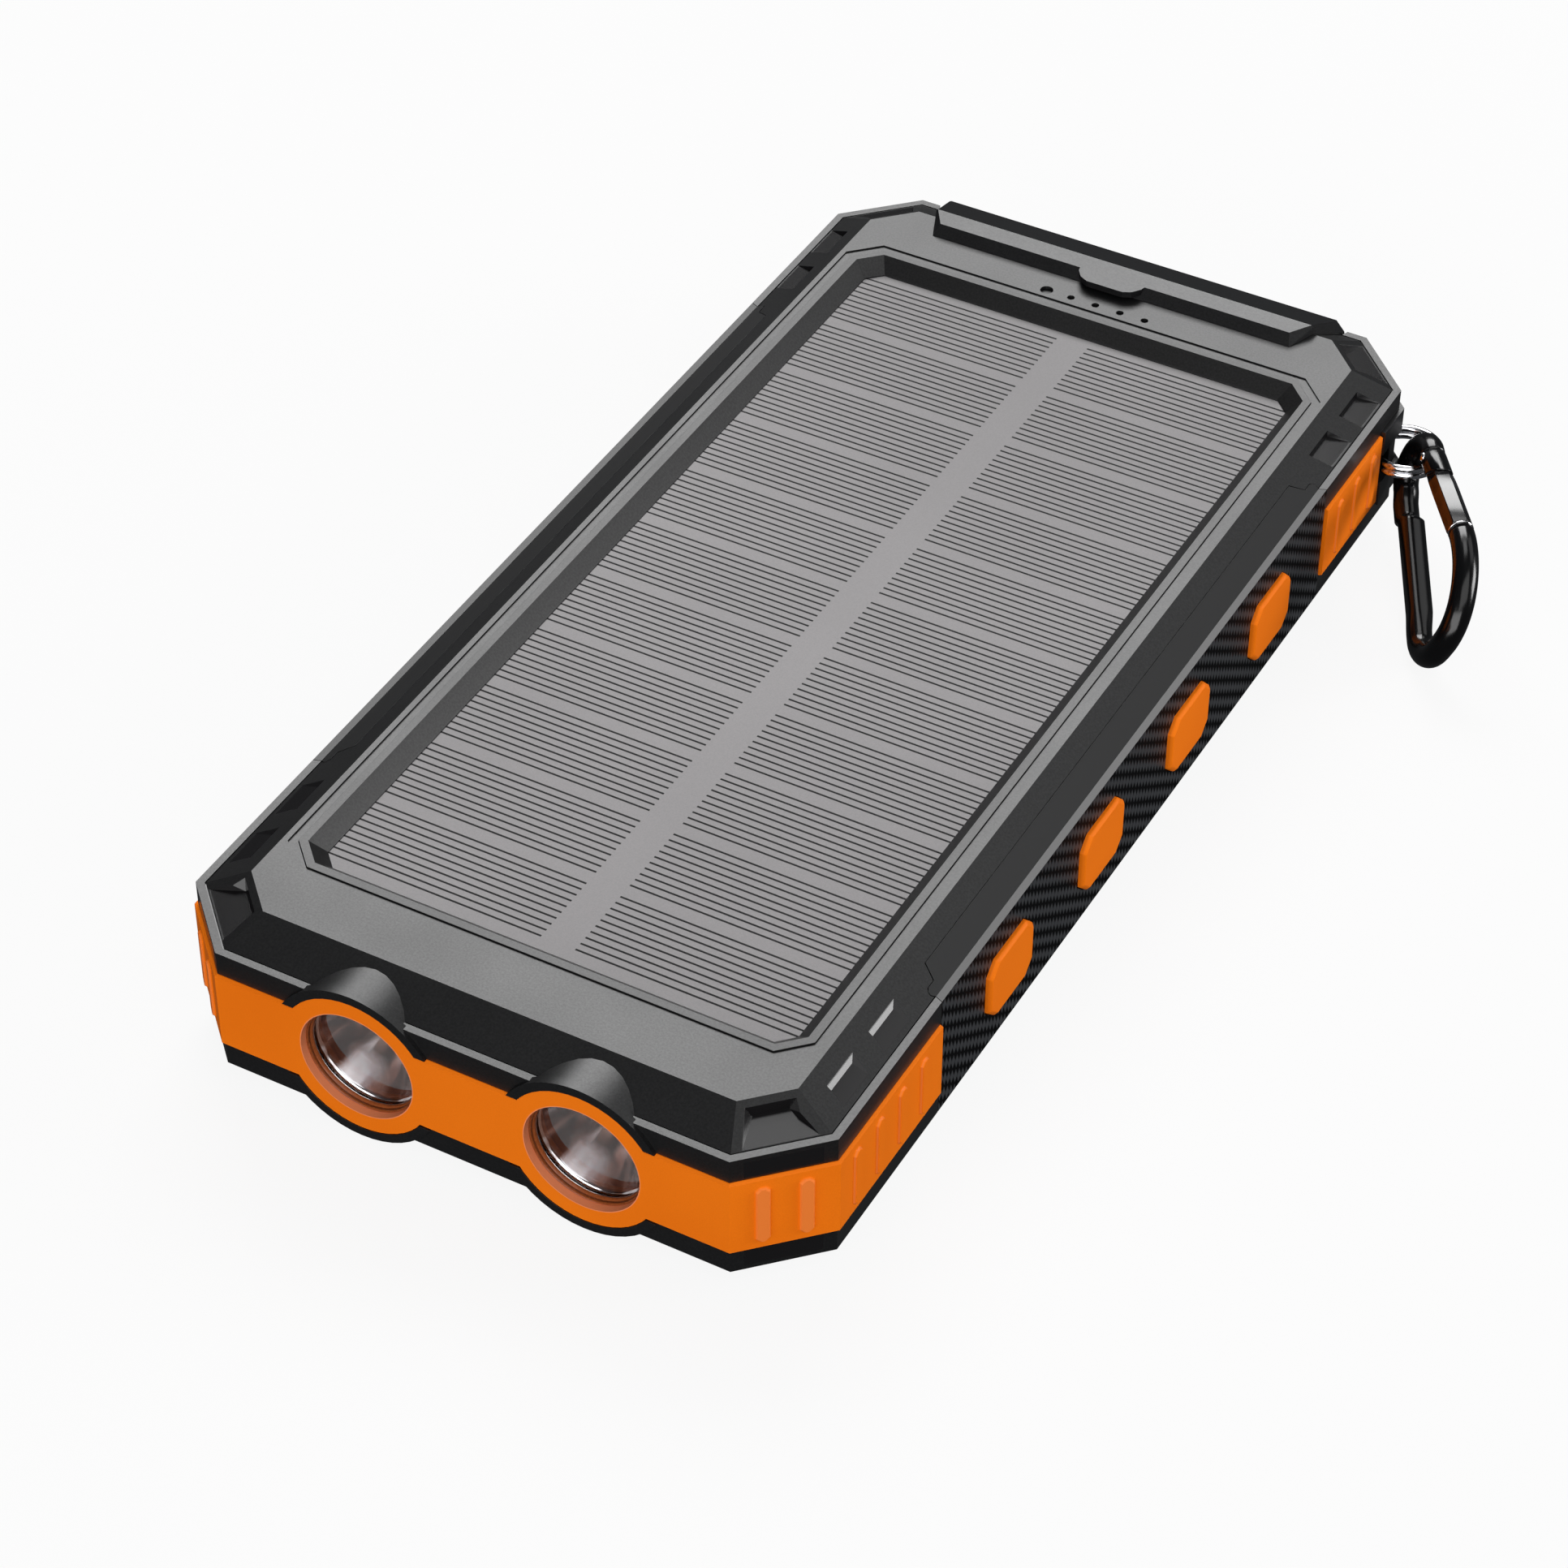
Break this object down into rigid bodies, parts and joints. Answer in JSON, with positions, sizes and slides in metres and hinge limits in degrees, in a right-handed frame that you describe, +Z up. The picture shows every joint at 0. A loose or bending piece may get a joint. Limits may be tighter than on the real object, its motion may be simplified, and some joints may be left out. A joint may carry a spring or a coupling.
{
  "type": "solar phone charger",
  "caption": "Rugged slab-shaped power bank with a framed solar panel on top, front flashlights, rubber bumpers, a hinged rubber port cover and a carabiner on a split ring.",
  "frame": {"origin": "centre of the flat underside of the body, on the plane it stands on", "axes": "+Z up through the solar panel, +Y along the body towards the port cover, flashlights face -Y, +X towards the side with the lanyard post and carabiner"},
  "size_m": [0.102, 0.165, 0.023],
  "materials": {
    "shell": "fine grained matte black",
    "grip": "black with a woven carbon look",
    "rubber": "matte orange",
    "bezel": "satin black",
    "solar": "dark grey cells under a satin cover film",
    "clear": "clear",
    "chrome": "mirror bright",
    "steel": "bright nickel",
    "led": "yellow phosphor",
    "board": "green solder resist",
    "cell": "satin pouch",
    "foam": "matte black",
    "lacquer": "glossy black"
  },
  "bodies": {
    "case": {"top_cover": "shell", "bottom_cover": "shell", "cover_anchor": "shell", "lanyard_post": "shell", "side_grip_left": "grip", "side_grip_right": "grip", "front_bumper": "rubber", "rear_bumper_left": "rubber", "rear_bumper_right": "rubber", "grip_pad_left_1": "rubber", "grip_pad_left_2": "rubber", "grip_pad_left_3": "rubber", "grip_pad_right_1": "rubber", "grip_pad_right_2": "rubber", "grip_pad_right_3": "rubber", "grip_pad_right_4": "rubber", "panel_bezel": "bezel", "solar_panel": "solar", "light_pipe": "clear", "flashlight_lens_left": "clear", "flashlight_lens_right": "clear", "lens_ring_left": "chrome", "lens_ring_right": "chrome", "reflector_left": "chrome", "reflector_right": "chrome", "usb_a_socket_left": "steel", "usb_a_socket_right": "steel", "usb_c_socket": "steel", "button_switch": "steel", "case_screw_1": "steel", "case_screw_2": "steel", "case_screw_3": "steel", "case_screw_4": "steel", "flashlight_led_left": "led", "flashlight_led_right": "led", "main_board": "board", "battery_cell_front": "cell", "battery_cell_rear": "cell", "foam_pad": "foam"},
    "port_cover": {"port_cover": "shell"},
    "power_button": {"power_button": "rubber"},
    "split_ring": {"split_ring": "steel"},
    "carabiner": {"carabiner_body": "lacquer", "gate_pin": "steel"},
    "carabiner_gate": {"carabiner_gate": "lacquer"}
  },
  "joints": [
    {"name": "port_cover_hinge", "type": "hinge", "parent": "case", "child": "port_cover", "pos_m": [0, 0.0811, 0.00665], "axis": [-1, 0, 0], "range_deg": [0, 90]},
    {"name": "power_button_press", "type": "slide", "parent": "case", "child": "power_button", "axis": [1, 0, 0], "range_m": [0, 0.0004], "stiffness_N_per_m": 2500},
    {"name": "split_ring_swivel", "type": "hinge", "parent": "case", "child": "split_ring", "pos_m": [0.03935, 0.0733, 0.0108], "axis": [0, 0, 1], "range_deg": [-5, 45]},
    {"name": "carabiner_swing", "type": "hinge", "parent": "split_ring", "child": "carabiner", "pos_m": [0.04504, 0.07011, 0.0108], "axis": [-0.6691, -0.7431, 0], "range_deg": [-0.3, 40]},
    {"name": "carabiner_gate_hinge", "type": "hinge", "parent": "carabiner", "child": "carabiner_gate", "pos_m": [0.04696, 0.06885, 0.01423], "axis": [0.7836, 0.5223, -0.3363], "range_deg": [0, 28], "stiffness_Nm_per_rad": 0.06, "springref_deg": -5.73}
  ]
}
